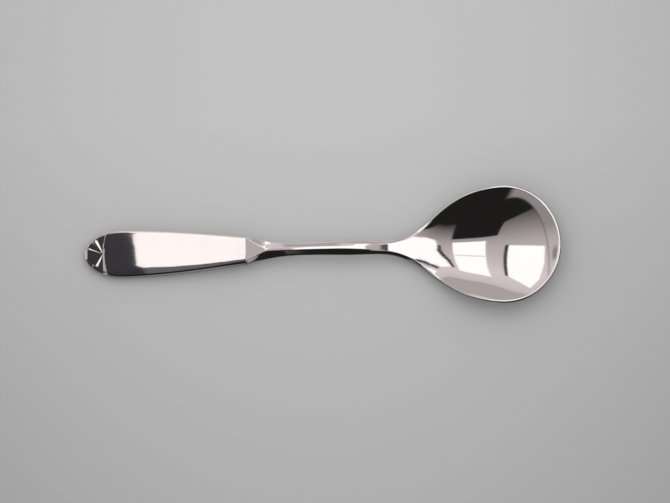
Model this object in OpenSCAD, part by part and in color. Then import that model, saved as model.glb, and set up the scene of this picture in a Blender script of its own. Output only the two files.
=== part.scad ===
// Sugar spoon with a hollow handle. A forged steel piece carries the bowl, the stem, the bolster
// and a hidden tang. Two struck half shells make the handle. Solder joins them, and a cast filler
// inside them holds the tang. Lengths are in millimetres and run from the handle's tip to the
// bowl's tip. The spoon lies on the plane z = 0, on the bowl's floor and on the handle's back.

/* [Handle] */
// Length of the handle, from its tip to its mouth
handle_length = 47.4; // [38:0.2:60]
// Greatest width of the handle
handle_width = 14.3; // [11:0.1:18]
// Length of the rounded end, from the tip to the widest place
handle_end_length = 11.6; // [9:0.1:14]
// Width of the handle at its mouth
mouth_width = 8.5; // [7.4:0.1:10]
// Height of the front face above the seam, at the mouth
face_rise = 1.9; // [1.6:0.05:2.6]
// Height of the front face above the seam, at the tip
face_rise_end = 1.2; // [1.1:0.05:1.6]
// Depth of the back below the seam, at the mouth
back_rise = 2; // [1.8:0.05:2.8]
// Depth of the back below the seam, at the rounded end
back_rise_end = 1.6; // [1.4:0.05:2.2]
// Width of the bevel round the front face and the back
bevel_width = 0.8; // [0.6:0.05:1.2]
// Share of the bevel's width that is a steep side
side_cut = 0.125; // [0.05:0.025:0.3]
// Share of the face's height that the steep side takes
side_share = 0.6; // [0.4:0.05:0.7]
// Swell of the front face above flat
face_crown = 0.35; // [0.05:0.05:0.5]
// Length from the fan's arc in which the swell grows to its full height
crown_run = 12; // [8:0.5:20]
// Thickness of the shells
shell_wall = 0.7; // [0.5:0.05:0.9]

/* [Fan] */
// Distance from the tip to the middle of the fan's arc
fan_length = 5.5; // [4.5:0.1:6.5]
// Angle at which the arc meets the rounded end
fan_spread = 64; // [58:1:70]
// Number of flutes
fan_flutes = 5; // [3:1:9]
// Depth of the fan below the face, at the arc
fan_step = 0.18; // [0.1:0.02:0.3]
// Depth of each flute below its ridges
flute_depth = 0.28; // [0.1:0.02:0.35]

/* [Stem] */
// Length of the bolster, from the handle's mouth to the tip of its facet
bolster_length = 5.7; // [4.5:0.1:8]
// Length of the stem, from the facet's tip to the neck
stem_length = 35.4; // [28:0.2:45]
// Width of the stem at its waist
stem_width = 3.7; // [2.8:0.1:4.5]
// Width of the flat ridge at the facet's tip
ridge_width = 1.1; // [0.6:0.05:1.5]
// Height of the ridge above the stem's sides
ridge_rise = 0.75; // [0.5:0.05:1.2]
// Depth of the stem below its sides
stem_belly = 1.2; // [0.9:0.05:1.8]
// Thickness of the stem's sides
stem_side = 0.4; // [0.2:0.05:0.7]
// Length before the neck in which the ridge dies out
ridge_fade = 12; // [8:0.5:18]

/* [Bowl] */
// Length from the neck to the bowl's tip
bowl_length = 51.5; // [46:0.5:60]
// Greatest width of the bowl
bowl_width = 35; // [30:0.5:42]
// Length from the widest place to the bowl's tip
bowl_front = 16.5; // [14:0.5:20]
// Depth of the hollow below the rim, at the deepest place
bowl_depth = 5.3; // [4.5:0.1:6.5]
// Depth of the hollow below the rim, at the shoulder
shoulder_depth = 2.45; // [2:0.05:3]
// Length from the neck to where the hollow starts
hollow_delay = 2.4; // [1:0.1:4]
// Length from the neck to where the middle falls most steeply
steepest_length = 7; // [5:0.5:9]
// Thickness of the metal at the rim
rim_thickness = 1; // [0.7:0.05:1.4]
// Thickness of the metal at the bowl's floor
floor_thickness = 1.3; // [1:0.05:1.8]
// Width of the neck, where the stem ends
neck_width = 4; // [3.4:0.1:5.5]
// Width of the bowl at its shoulder
shoulder_width = 20.4; // [18:0.2:24]
// Length from the neck to the shoulder
shoulder_length = 15.8; // [14:0.2:18]

/* [Side view] */
// Height of the handle's back above the table, at the mouth
mouth_lift = 1.6; // [1.2:0.1:3]
// Height of the stem's sides above the table, at their highest
crest_lift = 5.3; // [5:0.1:6.5]
// Height of the stem's sides above the table, at the neck
neck_lift = 4.76; // [4.4:0.02:5.4]
// Height of the bowl's middle above the table, where it falls most steeply
steepest_lift = 3.53; // [3.3:0.02:4]
// Height of the rim above the table, at the bowl's widest place
rim_lift = 7.4; // [6.8:0.1:9]
// Height of the rim above the table, at the bowl's tip
tip_lift = 7.1; // [6.5:0.1:8.5]

/* [Inside the handle] */
// Length of the tang inside the handle
tang_length = 28; // [18:0.5:34]
// Width of the tang at the bolster
tang_width = 4; // [3:0.1:4.6]
// Thickness of the tang at the bolster
tang_thickness = 2; // [1.6:0.1:2.4]
// Width of the tang at its end
tang_end_width = 2.8; // [2:0.1:4]
// Thickness of the tang at its end
tang_end_thickness = 1.4; // [1:0.1:2]
// Gap between the cast filler and what it touches
filler_gap = 0.03; // [0.01:0.01:0.08]
// Thickness of the solder in the seam between the shells
seam_solder = 0.12; // [0.08:0.02:0.2]
// Thickness of the solder between the handle's mouth and the bolster
mouth_solder_thickness = 0.12; // [0.08:0.02:0.2]

/* [Hidden] */

steel = [0.80, 0.80, 0.81];
silver = [0.91, 0.89, 0.87];
solder = [0.78, 0.77, 0.74];
cement = [0.62, 0.58, 0.52];

// Places along the spoon
mouth = handle_length;
bolster = mouth + mouth_solder_thickness;
facet_tip = bolster + bolster_length;
neck = facet_tip + stem_length;
waist = mix(facet_tip, neck, 1 / 3);
shoulder = neck + shoulder_length;
tip = neck + bowl_length;
widest = tip - bowl_front;
deepest = mix(shoulder, widest, 0.45);
crest = neck - ridge_fade;
steepest = neck + steepest_length;
hollow_start = neck + hollow_delay;
wall_start = neck - ridge_fade / 2;

// Slopes of the outline, as half width gained per length
mouth_taper = -0.12;
bolster_taper = -0.34;
neck_flare = 0.07;
shoulder_flare = 0.8;
// Slopes of the side view, as height gained per length
handle_climb = 0.07;
face_fall = 0.06;
neck_fall = 0.16;
steepest_fall = 0.19;
rim_climb = 0.17;
rim_fall = 0.03;
shoulder_sink = 0.5;
// Share of a flute's length in which it sinks to its depth
fan_start = 0.3;
// Two points nearer than this are one point
same_point = 1e-5;

// Counts of points
face_columns = 4;
flute_rows = 4;
handle_rows = 16;
bolster_rows = 5;
stem_rows = 14;
neck_rows = 14;
bowl_rows = 12;
front_rows = 14;
flat_columns = 6;
flank_columns = 6;

function mix(a, b, u) = a + (b - a) * u;
function clamp(u) = min(1, max(0, u));
function ease(u) = let (v = clamp(u)) v * v * (3 - 2 * v);
function last(list) = list[len(list) - 1];
function reverse(list) = [for (i = [len(list) - 1:-1:0]) list[i]];
function steps(a, b, count) = [for (i = [0:count]) mix(a, b, i / count)];

// Smooth line through knots of [place, value, slope]
function fair(knots, s, i = 0) =
    i < len(knots) - 2 && s > knots[i + 1][0]
    ? fair(knots, s, i + 1)
    : let (a = knots[i], b = knots[i + 1], span = b[0] - a[0], u = clamp((s - a[0]) / span))
      a[1] * (2 * u^3 - 3 * u^2 + 1) + a[2] * span * (u^3 - 2 * u^2 + u)
      + b[1] * (3 * u^2 - 2 * u^3) + b[2] * span * (u^3 - u^2);

// Point at a place along the spoon, with x from the middle of its length
function at(s, y, z) = [s - tip / 2, y, z];

// One closed solid from patches of points, each in rows, that meet along their edges
module sew(patches) {
    points = [for (patch = patches, row = patch, p = row) p];
    sizes = [for (patch = patches) len(patch) * len(patch[0])];
    starts = [for (k = 0, n = 0; k < len(sizes); n = n + sizes[k], k = k + 1) n];
    triangles = [
        for (k = [0:len(patches) - 1], i = [1:len(patches[k]) - 1], j = [1:len(patches[k][0]) - 1])
            let (width = len(patches[k][0]), b = starts[k] + i * width + j, a = b - width)
                each [[a - 1, a, b], [a - 1, b, b - 1]]
    ];
    polyhedron(points, [for (t = triangles) if (
        norm(points[t[0]] - points[t[1]]) > same_point
        && norm(points[t[1]] - points[t[2]]) > same_point
        && norm(points[t[2]] - points[t[0]]) > same_point) t]);
}
function turned(patches) = [for (patch = patches) [for (row = patch) reverse(row)]];
function shifted(row, distance) = [for (p = row) p + [distance, 0, 0]];
function loop(upper, lower) = concat(upper, reverse(lower), [upper[0]]);

// Handle: half width of its outline, taken in by inset
function handle_half(s, inset) =
    s < handle_end_length
    ? (handle_width / 2 - inset)
      * sqrt(max(0, 1 - ((handle_end_length - s) / (handle_end_length - inset))^2))
    : fair([[handle_end_length, handle_width / 2, 0], [mouth, mouth_width / 2, mouth_taper]], s) - inset;

// Handle in side view: its back, the seam between the shells, and how far each face is from the seam
function back_line(s) = fair([[handle_end_length, 0, 0], [mouth, mouth_lift, handle_climb]], s);
function back_depth(s) = mix(back_rise_end, back_rise, ease(s / mouth));
function face_height(s) = fair([[0, face_rise_end, face_fall], [mouth, face_rise, 0]], s);
function seam_line(s) = back_line(s) + back_depth(s) + seam_solder / 2;

// Height on a bevel at the share q of its width, with a steep side that takes the given share
function bevel(q, share) =
    q < side_cut ? share * q / side_cut : mix(share, 1, min(1, (q - side_cut) / (1 - side_cut)));

// Handle surface in front of the seam (side 1) or behind it (side -1), at the share r of the way
// from the middle to the outline, where flat is the share that the bevel starts at
function handle_point(s, y, r, flat, side, inset, relief) =
    let (swell = face_crown * ease((s - fan_length) / crown_run) * (1 - min(1, r / flat)^4),
         rise = side > 0 ? face_height(s) + swell - relief : back_depth(s),
         height = (rise - inset) * bevel((1 - r) / (1 - flat), side > 0 ? side_share : side_cut))
    at(s, y, seam_line(s) + side * (seam_solder / 2 + height));
function shares(flat) = concat(steps(0, flat, face_columns), [mix(1, flat, side_cut), 1]);

// Rounded end of the handle: rows from the middle of the fan's arc to the outline
fan_rows = fan_flutes * flute_rows;
fan_angles = steps(-fan_spread, fan_spread, fan_rows);
function fan_end(angle, inset) = [handle_end_length - (handle_end_length - inset) * cos(angle),
                                  (handle_width / 2 - inset) * sin(angle)];
function flute(i, r) = ease(r / fan_start) * (fan_step + flute_depth * abs(sin(180 * i / flute_rows)));
function fan_patch(side, inset, fluted) = [
    for (i = [0:fan_rows])
        let (end = fan_end(fan_angles[i], inset),
             flat = 1 - bevel_width / norm([end[0] - fan_length, end[1]]),
             bow = clamp(1 - min(i, fan_rows - i) / flute_rows))
        [for (r = shares(flat))
            let (s = mix(fan_length, end[0], mix(r, r^2, bow)))
            handle_point(s, r * end[1], r, flat, side, inset, fluted ? flute(i, r) : 0)]
];

// Rest of the handle: rows that bend like the fan's arc at first and run straight at the mouth
function shank_patch(side, inset) = [
    let (start = fan_end(fan_spread, inset)[0])
    for (u = steps(0, 1, handle_rows))
        let (edge = mix(start, mouth, u), half = handle_half(edge, inset),
             bow = (start - fan_length) * (1 - u)^2,
             flat = 1 - bevel_width / norm([bow, half]), r = shares(flat))
        [for (t = concat(-reverse(r), [for (j = [1:len(r) - 1]) r[j]]))
            handle_point(edge - bow * (1 - t^2), t * half, abs(t), flat, side, inset, 0)]
];

// Edge of a handle surface on the seam, from one side of the mouth round the tip to the other
function seam_edge(side, inset) =
    let (fan = fan_patch(side, inset, false), shank = shank_patch(side, inset))
    concat([for (row = reverse(shank)) row[0]],
           [for (i = [1:fan_rows - 1]) last(fan[i])],
           [for (row = shank) last(row)]);
function mouth_row(side, inset) = last(shank_patch(side, inset));
function mouth_loop(inset) = loop(mouth_row(1, inset), mouth_row(-1, inset));

// Half shell with its faces turned for the front
function shell_patches(side, fluted) =
    let (fan = fan_patch(side, 0, fluted), shank = shank_patch(side, 0),
         arc = concat(reverse(fan[0]), [for (j = [1:len(fan[0]) - 1]) last(fan)[j]]))
    concat([fan, [arc, shank[0]], shank],
           turned([fan_patch(side, shell_wall, false), shank_patch(side, shell_wall)]),
           [[seam_edge(side, shell_wall), seam_edge(side, 0)]],
           [[mouth_row(side, 0), mouth_row(side, shell_wall)]]);

// Tang: a tapered bar along a straight line in the handle's middle
tang_end = mouth - tang_length;
tang_middle = (face_rise - back_rise) / 2;
tang_end_middle = (face_height(tang_end) - back_depth(tang_end)) / 2;
function tang_row(s, width, middle, height, count) =
    [for (y = steps(-width / 2, width / 2, count)) at(s, y, seam_line(min(s, mouth)) + middle + height)];
function tang_loop(s, width, thickness, middle, count) =
    loop(tang_row(s, width, middle, thickness / 2, count),
         tang_row(s, width, middle, -thickness / 2, count));

// Forged piece: half width of its outline
function forged_half(s) =
    s > widest
    ? bowl_width / 2 * sqrt(max(0, 1 - ((s - widest) / bowl_front)^2))
    : fair([[bolster, mouth_width / 2, bolster_taper], [waist, stem_width / 2, 0],
            [neck, neck_width / 2, neck_flare], [shoulder, shoulder_width / 2, shoulder_flare],
            [widest, bowl_width / 2, 0]], s);

// Forged piece in side view: the middle line, which runs from between the stem's sides to the bowl's
// floor, the depth of the hollow, and the edge, which becomes the bowl's rim
floor_front = tip - deepest;
floor_bend = 2 * (tip_lift - floor_thickness) / floor_front^2;
widest_run = widest - deepest;
widest_depth = rim_lift - floor_thickness - floor_bend * widest_run^2 / 2;
function middle_line(s) =
    fair([[bolster, seam_line(mouth) + seam_solder / 2, handle_climb], [crest, crest_lift, 0],
          [neck, neck_lift, -neck_fall], [steepest, steepest_lift, -steepest_fall],
          [deepest, floor_thickness, 0], [tip, tip_lift, floor_bend * floor_front]], s);
function hollow(s) =
    fair([[hollow_start, 0, 0], [shoulder, shoulder_depth, shoulder_sink],
          [deepest, bowl_depth, rim_climb], [widest, widest_depth, -floor_bend * widest_run],
          [tip, 0, -floor_bend * floor_front - rim_fall]], s);
function edge_line(s) = middle_line(s) + hollow(s);

// Shares of the bolster's, the ridge's and the bowl's section at a place
function facet_share(s) = clamp((facet_tip - s) / bolster_length);
function bolster_share(s) = 1 - ease((s - bolster) / (waist - bolster));
function ridge_share(s) = 1 - ease((s - neck + ridge_fade) / ridge_fade);
function bowl_share(s) = ease((s - wall_start) / (shoulder - wall_start));

// Flat on top, which is the facet and then the ridge
facet_top = edge_line(bolster) + face_rise;
ridge_top = edge_line(facet_tip) + ridge_rise;
function flat_half(s) = mix(mix(ridge_width / 2, forged_half(s) / 2, 1 - ridge_share(s)),
                            mouth_width / 2 - bevel_width, facet_share(s));
function flat_rise(s) = s < facet_tip
    ? mix(ridge_top, facet_top, facet_share(s)) - edge_line(s)
    : ridge_rise * ridge_share(s);

// Share of the hollow's depth across a section
function parabola(half, y) = half > 0 ? max(0, 1 - (y / half)^2) : 0;

function top_height(s, y) =
    let (half = forged_half(s), flat = flat_half(s),
         share = mix(side_cut, side_share, facet_share(s)),
         roof = abs(y) > flat ? bevel(max(0, half - abs(y)) / (half - flat), share) : 1)
    edge_line(s) + flat_rise(s) * roof - hollow(s) * parabola(half, y);
function bottom_height(s, y) =
    let (half = forged_half(s), share = bowl_share(s), swell = parabola(half, y),
         bevelled = min(1, max(0, half - abs(y)) / bevel_width),
         belly = mix(stem_belly * sqrt(swell), back_rise * bevelled, bolster_share(s)),
         side = mix(mix(stem_side, seam_solder, bolster_share(s)), rim_thickness, share))
    edge_line(s) - side - (1 - share) * belly
    - (hollow(s) + share * (floor_thickness - rim_thickness)) * swell;
function forged_loop(s) =
    let (half = forged_half(s), flat = min(flat_half(s), half),
         right = concat([for (j = [1:flat_columns]) flat * j / flat_columns],
                        [for (j = [1:flank_columns]) mix(flat, half, j / flank_columns)]),
         across = concat(-reverse(right), [0], right))
    loop([for (y = across) at(s, y, top_height(s, y))],
         [for (y = across) at(s, y, bottom_height(s, y))]);
forged_places = concat(
    steps(bolster, facet_tip, bolster_rows),
    [for (i = [1:stem_rows]) mix(facet_tip, neck, i / stem_rows)],
    [for (i = [1:neck_rows]) mix(neck, shoulder, i / neck_rows)],
    [for (i = [1:bowl_rows]) mix(shoulder, widest, i / bowl_rows)],
    [for (i = [1:front_rows]) mix(widest, tip, sin(90 * i / front_rows))]);

module bowl_and_stem() {
    count = 2 * (flat_columns + flank_columns);
    back = tang_row(tang_end, tang_end_width, tang_end_middle, -tang_end_thickness / 2, count);
    front = tang_row(tang_end, tang_end_width, tang_end_middle, tang_end_thickness / 2, count);
    color(steel) sew([
        [back, front],
        concat([loop(front, back), tang_loop(bolster, tang_width, tang_thickness, tang_middle, count)],
               [for (s = forged_places) forged_loop(s)])]);
}

module handle_front_shell() {
    color(silver) sew(shell_patches(1, true));
}

module handle_back_shell() {
    color(silver) sew(turned(shell_patches(-1, false)));
}

module handle_filler() {
    inset = shell_wall + filler_gap;
    count = len(mouth_row(1, inset)) - 1;
    end = tang_end - filler_gap;
    width = tang_end_width + 2 * filler_gap;
    front = tang_row(end, width, tang_end_middle, tang_end_thickness / 2 + filler_gap, count);
    back = tang_row(end, width, tang_end_middle, -tang_end_thickness / 2 - filler_gap, count);
    socket = tang_loop(mouth, tang_width + 2 * filler_gap, tang_thickness + 2 * filler_gap,
                       tang_middle, count);
    color(cement) sew(concat(
        [fan_patch(1, inset, false), shank_patch(1, inset)],
        turned([fan_patch(-1, inset, false), shank_patch(-1, inset)]),
        [[seam_edge(-1, inset), seam_edge(1, inset)]],
        [[mouth_loop(inset), socket, loop(front, back)], [front, back]]));
}

module rim_solder() {
    outer_front = seam_edge(1, 0);
    inner_front = seam_edge(1, shell_wall);
    outer_back = seam_edge(-1, 0);
    inner_back = seam_edge(-1, shell_wall);
    color(solder) sew([
        [outer_front, inner_front, inner_back, outer_back, outer_front],
        [[outer_front[0], inner_front[0]], [outer_back[0], inner_back[0]]],
        [[last(inner_front), last(outer_front)], [last(inner_back), last(outer_back)]]]);
}

module mouth_solder() {
    outer = mouth_loop(0);
    inner = mouth_loop(shell_wall);
    outer_end = shifted(outer, mouth_solder_thickness);
    inner_end = shifted(inner, mouth_solder_thickness);
    color(solder) sew([[outer, outer_end, inner_end, inner, outer]]);
}

bowl_and_stem();
handle_front_shell();
handle_back_shell();
handle_filler();
rim_solder();
mouth_solder();
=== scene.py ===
"""Looks of a sugar spoon with a hollow handle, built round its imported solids."""

import logging
import math
from collections.abc import Sequence
from dataclasses import dataclass
from enum import Enum
from typing import Union

import bmesh
import bpy
from mathutils import Matrix, Vector


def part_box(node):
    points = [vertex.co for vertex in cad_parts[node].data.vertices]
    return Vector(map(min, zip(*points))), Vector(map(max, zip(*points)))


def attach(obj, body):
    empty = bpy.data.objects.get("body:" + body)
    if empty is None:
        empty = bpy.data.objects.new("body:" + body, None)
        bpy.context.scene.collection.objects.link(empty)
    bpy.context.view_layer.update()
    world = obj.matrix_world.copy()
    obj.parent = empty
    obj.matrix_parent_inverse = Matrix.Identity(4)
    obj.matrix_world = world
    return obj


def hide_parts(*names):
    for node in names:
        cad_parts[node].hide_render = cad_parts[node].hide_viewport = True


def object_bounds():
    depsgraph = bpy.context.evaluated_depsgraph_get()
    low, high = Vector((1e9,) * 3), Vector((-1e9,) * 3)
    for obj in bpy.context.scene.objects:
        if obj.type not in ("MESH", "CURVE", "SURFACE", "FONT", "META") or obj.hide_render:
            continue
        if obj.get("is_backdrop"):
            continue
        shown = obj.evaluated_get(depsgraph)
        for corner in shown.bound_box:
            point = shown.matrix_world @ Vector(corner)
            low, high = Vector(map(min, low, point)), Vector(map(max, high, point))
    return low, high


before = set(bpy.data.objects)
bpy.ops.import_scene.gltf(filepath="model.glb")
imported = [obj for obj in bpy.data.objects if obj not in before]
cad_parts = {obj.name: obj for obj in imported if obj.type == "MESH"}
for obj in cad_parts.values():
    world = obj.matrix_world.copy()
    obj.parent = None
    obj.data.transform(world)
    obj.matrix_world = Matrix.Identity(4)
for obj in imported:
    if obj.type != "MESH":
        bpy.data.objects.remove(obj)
CAD_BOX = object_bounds()

LOG = logging.getLogger("sugar_spoon")
MM = 0.001
ROOT = "root"

Plan = tuple[float, float]
Span = tuple[float, float]
Band = tuple[float, float, float]
Row = list[Vector]
Sides = tuple[tuple[Plan, ...], tuple[Plan, ...]]
Colour = tuple[float, float, float]
Value = Union["Shade", float]
Settings = dict[str, object]
Inputs = dict[str | int, object]


class Side(Enum):
    """Half of the handle, by the way its surface faces."""

    FRONT = 1
    BACK = -1


def mix(a: float, b: float, share: float) -> float:
    """Value at a share of the way from a to b."""
    return a + (b - a) * share


def clamp(share: float) -> float:
    """Share held between 0 and 1."""
    return min(1.0, max(0.0, share))


def ease(share: float) -> float:
    """Share that starts and stops gently."""
    held = clamp(share)
    return held * held * (3 - 2 * held)


def steps(a: float, b: float, count: int) -> list[float]:
    """Values from a to b in even steps, both ends included."""
    return [mix(a, b, i / count) for i in range(count + 1)]


def soft_ramp(x: float, reach: float) -> float:
    """Ramp that is 0 below 0 and x above, rounded within reach of 0.

    Args:
        x: Place on the ramp.
        reach: Half width of the rounding.

    Returns:
        The ramp's height.
    """
    if x <= -reach:
        return 0.0
    if x >= reach:
        return x
    return (x + reach) ** 2 / (4 * reach)


def add_object(name: str, mesh: bmesh.types.BMesh, material: bpy.types.Material) -> bpy.types.Object:
    """Turns a mesh into an object of the scene.

    Args:
        name: Name of the object.
        mesh: Its mesh, which is freed.
        material: Its finish.

    Returns:
        The object.
    """
    data = bpy.data.meshes.new(name)
    mesh.to_mesh(data)
    mesh.free()
    data.materials.append(material)
    added = bpy.data.objects.new(name, data)
    bpy.context.scene.collection.objects.link(added)
    return added


@dataclass(frozen=True)
class Knot:
    """Point of a fair line: place, value, slope and, if it is known, the second derivative."""

    place: float
    value: float
    slope: float
    bend: float | None = None


@dataclass(frozen=True)
class FairLine:
    """Line through knots with continuous curvature, so that mirror images on it don't break."""

    knots: tuple[Knot, ...]

    def span_bends(self, i: int) -> tuple[float, float]:
        """Second derivatives of the plain cubic at both ends of a span.

        Args:
            i: Number of the span's first knot.

        Returns:
            Second derivative at the start and at the end.
        """
        a, b = self.knots[i], self.knots[i + 1]
        span = b.place - a.place
        rise = 6 * (b.value - a.value)
        start = (rise - span * (4 * a.slope + 2 * b.slope)) / span ** 2
        end = (-rise + span * (2 * a.slope + 4 * b.slope)) / span ** 2
        return start, end

    def bend(self, i: int) -> float:
        """Second derivative at a knot: its own, or the mean of the cubics that meet there.

        Args:
            i: Number of the knot.

        Returns:
            The second derivative.
        """
        if self.knots[i].bend is not None:
            return self.knots[i].bend
        before = [self.span_bends(i - 1)[1]] if i > 0 else []
        after = [self.span_bends(i)[0]] if i < len(self.knots) - 1 else []
        return sum(before + after) / len(before + after)

    def __call__(self, place: float) -> float:
        """Value of the line, which stays level beyond its end knots.

        Args:
            place: Where along the line.

        Returns:
            The value there.
        """
        i = 0
        while i < len(self.knots) - 2 and place > self.knots[i + 1].place:
            i += 1
        a, b = self.knots[i], self.knots[i + 1]
        span = b.place - a.place
        u = clamp((place - a.place) / span)
        rise = u ** 3 * (10 - 15 * u + 6 * u ** 2)
        leave = u - u ** 3 * (6 - 8 * u + 3 * u ** 2)
        arrive = -u ** 3 * (4 - 7 * u + 3 * u ** 2)
        bend_start = u ** 2 * (1 - 3 * u + 3 * u ** 2 - u ** 3) / 2
        bend_end = u ** 3 * (1 - 2 * u + u ** 2) / 2
        return (
            mix(a.value, b.value, rise)
            + span * (a.slope * leave + b.slope * arrive)
            + span ** 2 * (self.bend(i) * bend_start + self.bend(i + 1) * bend_end)
        )


@dataclass(frozen=True)
class Lengths:
    """Driving lengths in millimetres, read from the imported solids."""

    handle: float
    handle_width: float
    mouth_width: float
    mouth_solder: float
    whole: float
    bowl_width: float
    rim_height: float

    @classmethod
    def from_frame(cls) -> "Lengths":
        """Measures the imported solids.

        Returns:
            The lengths.
        """
        shell_low, shell_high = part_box("handle_front_shell")
        solder_low, solder_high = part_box("mouth_solder")
        forged_low, forged_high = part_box("bowl_and_stem")
        return cls(
            handle=(shell_high.x - shell_low.x) / MM,
            handle_width=(shell_high.y - shell_low.y) / MM,
            mouth_width=(solder_high.y - solder_low.y) / MM,
            mouth_solder=(solder_high.x - solder_low.x) / MM,
            whole=(forged_high.x - shell_low.x) / MM,
            bowl_width=(forged_high.y - forged_low.y) / MM,
            rim_height=(forged_high.z - forged_low.z) / MM,
        )

    def point(self, s: float, y: float, z: float) -> Vector:
        """Point of the frame from a place along the spoon, in metres."""
        return Vector((s - self.whole / 2, y, z)) * MM


class Skin:
    """Grid laid over half-sections that go round an outline, and stitched along the middle."""

    STITCH = 1e-7
    CREASE = math.radians(32)

    def __init__(self, name: str, rows: Sequence[Row]) -> None:
        """Lays the grid.

        Args:
            name: Name of the piece.
            rows: Half-sections in order round the outline, each from the middle outwards.
        """
        self.name = name
        self.mesh = bmesh.new()
        across, along = len(rows[0]) - 1, len(rows) - 1
        bmesh.ops.create_grid(self.mesh, x_segments=across, y_segments=along, size=1.0)
        for vertex in self.mesh.verts:
            column = round((vertex.co.x + 1) / 2 * across)
            row = round((vertex.co.y + 1) / 2 * along)
            vertex.co = rows[row][column]
        bmesh.ops.remove_doubles(self.mesh, verts=self.mesh.verts, dist=self.STITCH)

    def close_ends(self) -> None:
        """Closes the openings that the grid leaves at its ends."""
        rims = [edge for edge in self.mesh.edges if edge.is_boundary]
        bmesh.ops.holes_fill(self.mesh, edges=rims, sides=0)

    def finish(self, material: bpy.types.Material, node: str) -> bpy.types.Object:
        """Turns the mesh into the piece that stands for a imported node.

        Args:
            material: Finish of the piece.
            node: Node that the piece stands for.

        Returns:
            The piece.
        """
        bmesh.ops.recalc_face_normals(self.mesh, faces=self.mesh.faces)
        for face in self.mesh.faces:
            face.smooth = True
        for edge in self.mesh.edges:
            edge.smooth = edge.is_manifold and edge.calc_face_angle() < self.CREASE
        piece = add_object(self.name, self.mesh, material)
        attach(piece, ROOT)
        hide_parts(node)
        LOG.info("%s: %d faces, stands for %s", self.name, len(piece.data.polygons), node)
        return piece


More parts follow.
